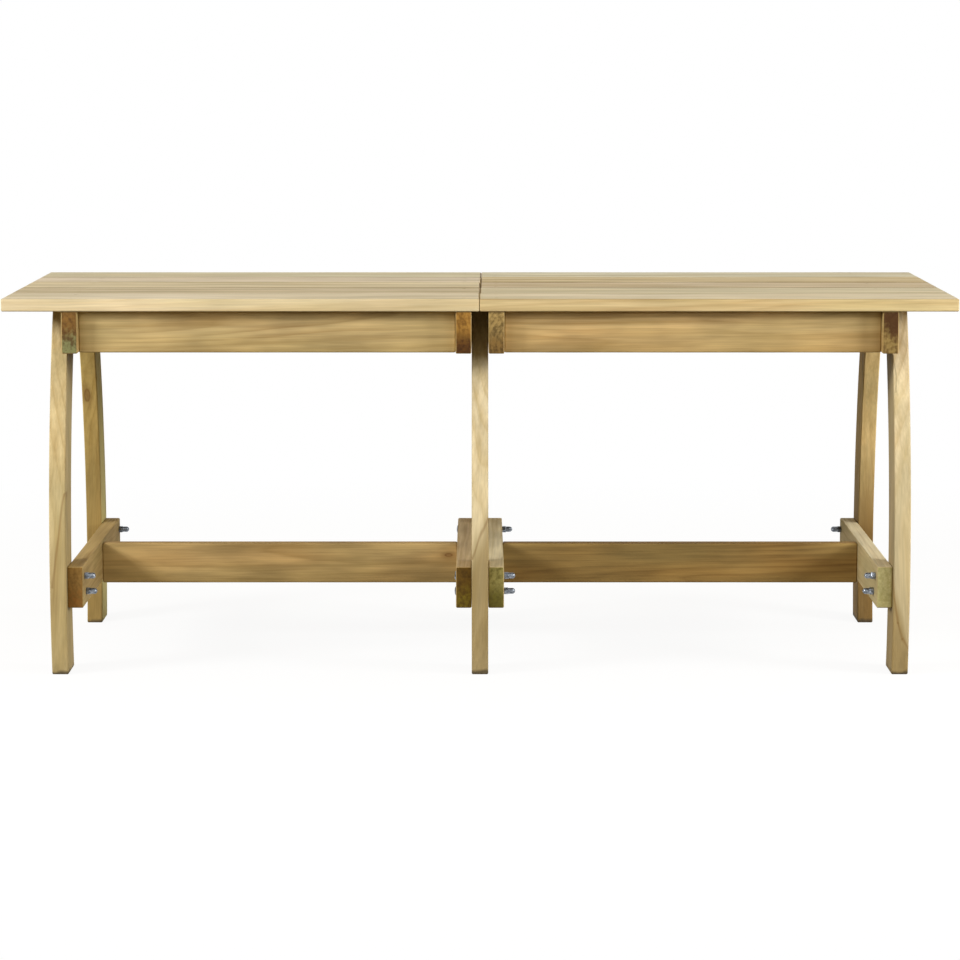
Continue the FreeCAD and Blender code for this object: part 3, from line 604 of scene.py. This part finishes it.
# Wood screws: countersunk 8 mm heads with a round recess. Two hold each plank to each batten, just below
# the surface, and two hold each end of the aprons and rails, through the cross boards.
SCREW_SIDES = 12
screw_tree, sockets = new_tree("wood_screws", Axis="Rotation", Head_radius="Float", Recess_radius="Float",
                               Proud="Float", Material="Material")
head_radius, recess_radius, proud = sockets["Head radius"], sockets["Recess radius"], sockets["Proud"]
rim = turned(screw_tree, SCREW_SIDES, [
    ((head_radius, 0.6, 0.0), -0.002), (head_radius, 0.0), ((head_radius, 0.96, 0.0), proud),
])
dish = turned(screw_tree, SCREW_SIDES, [
    (0.0, -0.0016), ((recess_radius, 0.8, 0.0), -0.0014), (recess_radius, (proud, 0.5, 0.0)),
    ((head_radius, 0.96, 0.0), proud),
], inside=True)
set_on_points(screw_tree, sockets, (rim, dish), seed=3)
TOP_HEIGHT, PLANK_PITCH, FIRST_PLANK = 0.770, 0.153, -0.306
PLANK_SCREWS = [(side * along, FIRST_PLANK + PLANK_PITCH * plank + row, TOP_HEIGHT - SINKING_DEPTH)
                for side in (-1, 1) for along in SCREW_LINES for plank in range(5) for row in SCREW_ROWS]
APRON_LEVELS, RAIL_LEVELS = (0.680, 0.722), (0.153, 0.196)
BOARD_ENDS = [(across, level)
              for across, levels in ((-0.333, APRON_LEVELS), (0.333, APRON_LEVELS), (0.016, RAIL_LEVELS))
              for level in levels]
UPWARDS = (0.0, 0.0, 0.0)
for label, axis, points in (
    ("top", UPWARDS, PLANK_SCREWS),
    ("left_facing", AGAINST_X, [(x, *end) for x in (-0.8385, 0.017) for end in BOARD_ENDS]),
    ("right_facing", ALONG_X, [(x, *end) for x in (-0.017, 0.8385) for end in BOARD_ENDS]),
):
    screws = repeat(label + "_screws", screw_tree, points, Axis=axis, Head_radius=0.004,
                    Recess_radius=0.0017, Proud=0.00035, Material=zinc)
    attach(screws, "root")

# The stage: a white studio floor that fades into a white background.
# The floor keeps the table's faint shadow, and sends less light up than it shows, as in a wide dim room.
FLOOR_REACH = 30.0
floor_mesh = bpy.data.meshes.new("floor")
floor_corners = [(x * FLOOR_REACH, y * FLOOR_REACH, 0.0) for x, y in ((-1, -1), (1, -1), (1, 1), (-1, 1))]
floor_mesh.from_pydata(floor_corners, [], [(0, 1, 2, 3)])
floor = bpy.data.objects.new("floor", floor_mesh)
bpy.context.scene.collection.objects.link(floor)
floor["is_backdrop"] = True
paper = bpy.data.materials.new("white_studio_paper")
paper.use_nodes = True
tree = paper.node_tree
surface = tree.nodes["Principled BSDF"]
surface.inputs["Roughness"].default_value = 1.0
surface.inputs["Specular IOR Level"].default_value = 0.0
WHITE, DIM_FLOOR = linear("#FFFFFF"), linear("#5C5240")
FADE_PER_METRE = (0.15, 0.23, 0.0)
ray = add(tree, "ShaderNodeLightPath").node.outputs
seen = add(tree, "ShaderNodeMath", {0: ray["Is Camera Ray"], 1: ray["Is Glossy Ray"]}, operation="MAXIMUM")
shown = add(tree, "ShaderNodeMix", {0: seen, 6: DIM_FLOOR, 7: WHITE}, 2, data_type="RGBA")
tree.links.new(shown, surface.inputs["Base Color"])
place = add(tree, "ShaderNodeTexCoord", out="Object")
spread = add(tree, "ShaderNodeVectorMath", {0: place, 1: FADE_PER_METRE}, operation="MULTIPLY")
away = add(tree, "ShaderNodeVectorMath", {0: spread}, "Value", operation="LENGTH")
fade = add(tree, "ShaderNodeValToRGB", {"Fac": away}, stops=((0.15, 0.92), (0.6, 1.0)))
glow = add(tree, "ShaderNodeMath", {0: fade, 1: seen}, operation="MULTIPLY")
white = add(tree, "ShaderNodeEmission", {"Color": WHITE, "Strength": 1.0})
mixed = add(tree, "ShaderNodeMixShader", {0: glow, 1: surface.outputs["BSDF"], 2: white})
tree.links.new(mixed, tree.nodes["Material Output"].inputs["Surface"])
floor_mesh.materials.append(paper)

# The light: a soft box on each side in front of the table, one further round on each side that draws the
# shadows of the battens and legs, a weak one overhead, and a dim warm room.
DIM_ROOM = linear("#A2926C")
world = bpy.data.worlds.new("white_studio")
bpy.context.scene.world = world
world.use_nodes = True
tree = world.node_tree
ray = add(tree, "ShaderNodeLightPath").node.outputs
seen = add(tree, "ShaderNodeMath", {0: ray["Is Camera Ray"], 1: ray["Is Glossy Ray"]}, operation="MAXIMUM")
shown = add(tree, "ShaderNodeMix", {0: seen, 6: DIM_ROOM, 7: WHITE}, 2, data_type="RGBA")
tree.links.new(shown, tree.nodes["Background"].inputs["Color"])
for label, spot, aim, width, height, watts in (
    ("left_soft_box", (-2.4, -3.3, 2.0), (0.0, 0.0, 0.6), 1.6, 1.8, 31.0),
    ("right_soft_box", (2.4, -3.3, 2.0), (0.0, 0.0, 0.6), 1.6, 1.8, 31.0),
    ("left_side_box", (-4.2, -2.35, 2.25), (0.0, 0.0, 0.5), 1.4, 1.0, 182.0),
    ("right_side_box", (3.4, -1.5, 1.35), (0.0, 0.0, 0.5), 1.2, 0.9, 104.0),
    ("overhead_soft_box", (0.0, -0.2, 3.6), (0.0, 0.0, 0.0), 3.0, 1.6, 20.0),
):
    lamp = bpy.data.lights.new(label, "AREA")
    lamp.shape, lamp.size, lamp.size_y, lamp.energy = "RECTANGLE", width, height, watts
    holder = bpy.data.objects.new(label, lamp)
    holder.location = spot
    holder.rotation_euler = (Vector(aim) - Vector(spot)).to_track_quat("-Z", "Y").to_euler()
    bpy.context.scene.collection.objects.link(holder)

# The camera: a long lens straight in front of the table, a little above its top and tipped down.
# Its lens and place are fitted to the edges of the top, the legs, the stretchers and the feet.
TIPPED_DOWN = 7.681
camera = bpy.data.cameras.new("front_camera")
camera.sensor_width = 36.0
camera.lens = 121.57
viewer = bpy.data.objects.new("front_camera", camera)
viewer.location = (0.0, -6.8435, 1.2766)
viewer.rotation_euler = (math.radians(90 - TIPPED_DOWN), 0.0, 0.0)
bpy.context.scene.collection.objects.link(viewer)
bpy.context.scene.camera = viewer
bpy.context.scene.view_settings.view_transform = "Standard"

low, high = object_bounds()
